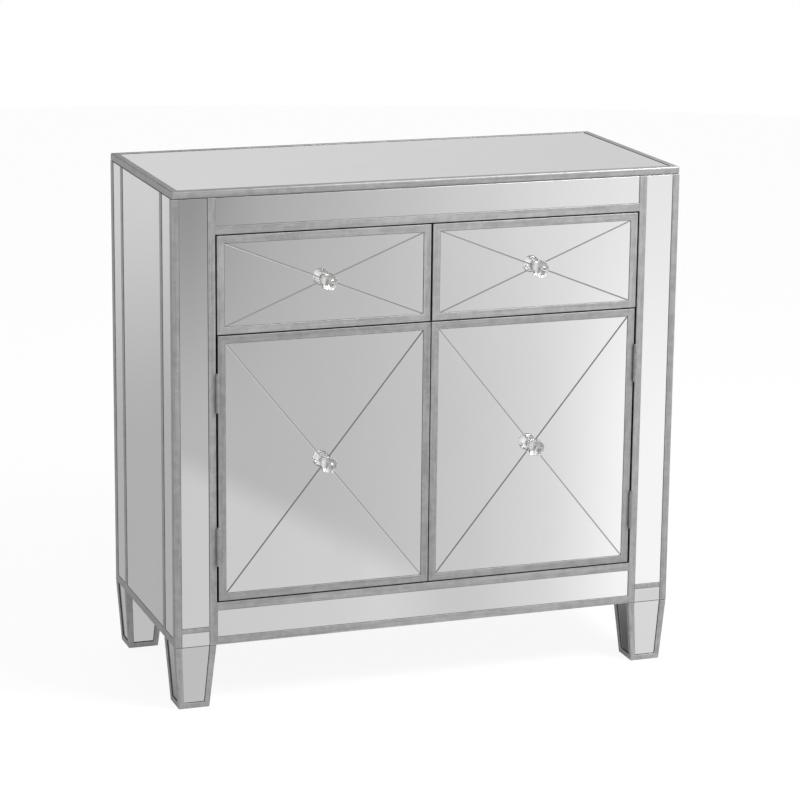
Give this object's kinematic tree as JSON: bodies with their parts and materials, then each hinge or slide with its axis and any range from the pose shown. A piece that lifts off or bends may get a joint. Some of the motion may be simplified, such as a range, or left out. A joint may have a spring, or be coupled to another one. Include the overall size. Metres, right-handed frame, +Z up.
{
  "type": "mirrored accent cabinet",
  "caption": "Low mirrored storage cabinet on tapered legs: drawers side by side over hinged doors, silver-painted frame, faceted crystal knobs, shelf inside.",
  "frame": {"origin": "on the floor, under the middle of the whole object with its knobs", "axes": "+Z up, the doors and drawers face -Y, +X to the right as seen from the front"},
  "size_m": [0.813, 0.397, 0.803],
  "materials": {
    "silver_paint": "silver paint on wood, satin",
    "mirror": "polished",
    "inside_paint": "grey paint on wood, matt",
    "pale_wood": "clear lacquer, satin",
    "hardboard": "grey paint on hardboard, matt",
    "crystal": "cut and polished",
    "hinge_steel": "silver paint, satin",
    "catch_plastic": "moulded"
  },
  "bodies": {
    "case": {"top_board": "silver_paint", "top_mirror": "mirror", "top_rail": "silver_paint", "top_rail_mirror": "mirror", "bottom_rail": "silver_paint", "bottom_rail_mirror": "mirror", "bottom_board": "inside_paint", "drawer_deck": "inside_paint", "shelf": "inside_paint", "drawer_divider": "inside_paint", "drawer_guide_left": "inside_paint", "drawer_guide_right": "inside_paint", "back_panel": "hardboard", "door_catch": "catch_plastic", "side_board_left": "silver_paint", "side_mirror_front_left": "mirror", "side_mirror_middle_left": "mirror", "side_mirror_back_left": "mirror", "post_left": "silver_paint", "post_mirror_upper_left": "mirror", "post_mirror_lower_left": "mirror", "leg_front_left": "silver_paint", "leg_back_left": "silver_paint", "hinge_post_leaf_upper_left": "hinge_steel", "hinge_post_leaf_lower_left": "hinge_steel", "side_board_right": "silver_paint", "side_mirror_front_right": "mirror", "side_mirror_middle_right": "mirror", "side_mirror_back_right": "mirror", "post_right": "silver_paint", "post_mirror_upper_right": "mirror", "post_mirror_lower_right": "mirror", "leg_front_right": "silver_paint", "leg_back_right": "silver_paint", "hinge_post_leaf_upper_right": "hinge_steel", "hinge_post_leaf_lower_right": "hinge_steel"},
    "drawer_left": {"drawer_left_front": "silver_paint", "drawer_left_front_mirror": "mirror", "drawer_left_knob": "crystal", "drawer_left_wall_left": "pale_wood", "drawer_left_wall_right": "pale_wood", "drawer_left_back": "pale_wood", "drawer_left_bottom": "pale_wood"},
    "drawer_right": {"drawer_right_front": "silver_paint", "drawer_right_front_mirror": "mirror", "drawer_right_knob": "crystal", "drawer_right_wall_left": "pale_wood", "drawer_right_wall_right": "pale_wood", "drawer_right_back": "pale_wood", "drawer_right_bottom": "pale_wood"},
    "door_left": {"hinge_door_leaf_upper_left": "hinge_steel", "hinge_door_leaf_lower_left": "hinge_steel", "door_left": "silver_paint", "door_left_mirror": "mirror", "door_left_knob": "crystal"},
    "door_right": {"hinge_door_leaf_upper_right": "hinge_steel", "hinge_door_leaf_lower_right": "hinge_steel", "door_right": "silver_paint", "door_right_mirror": "mirror", "door_right_knob": "crystal"}
  },
  "joints": [
    {"name": "drawer_left_slide", "type": "slide", "parent": "case", "child": "drawer_left", "axis": [0, -1, 0], "range_m": [0, 0.24]},
    {"name": "drawer_right_slide", "type": "slide", "parent": "case", "child": "drawer_right", "axis": [0, -1, 0], "range_m": [0, 0.24]},
    {"name": "door_left_hinge", "type": "hinge", "parent": "case", "child": "door_left", "pos_m": [-0.33895, -0.1706, 0.376], "axis": [0, 0, -1], "range_deg": [0, 110]},
    {"name": "door_right_hinge", "type": "hinge", "parent": "case", "child": "door_right", "pos_m": [0.33895, -0.1706, 0.376], "axis": [0, 0, 1], "range_deg": [0, 110]}
  ]
}
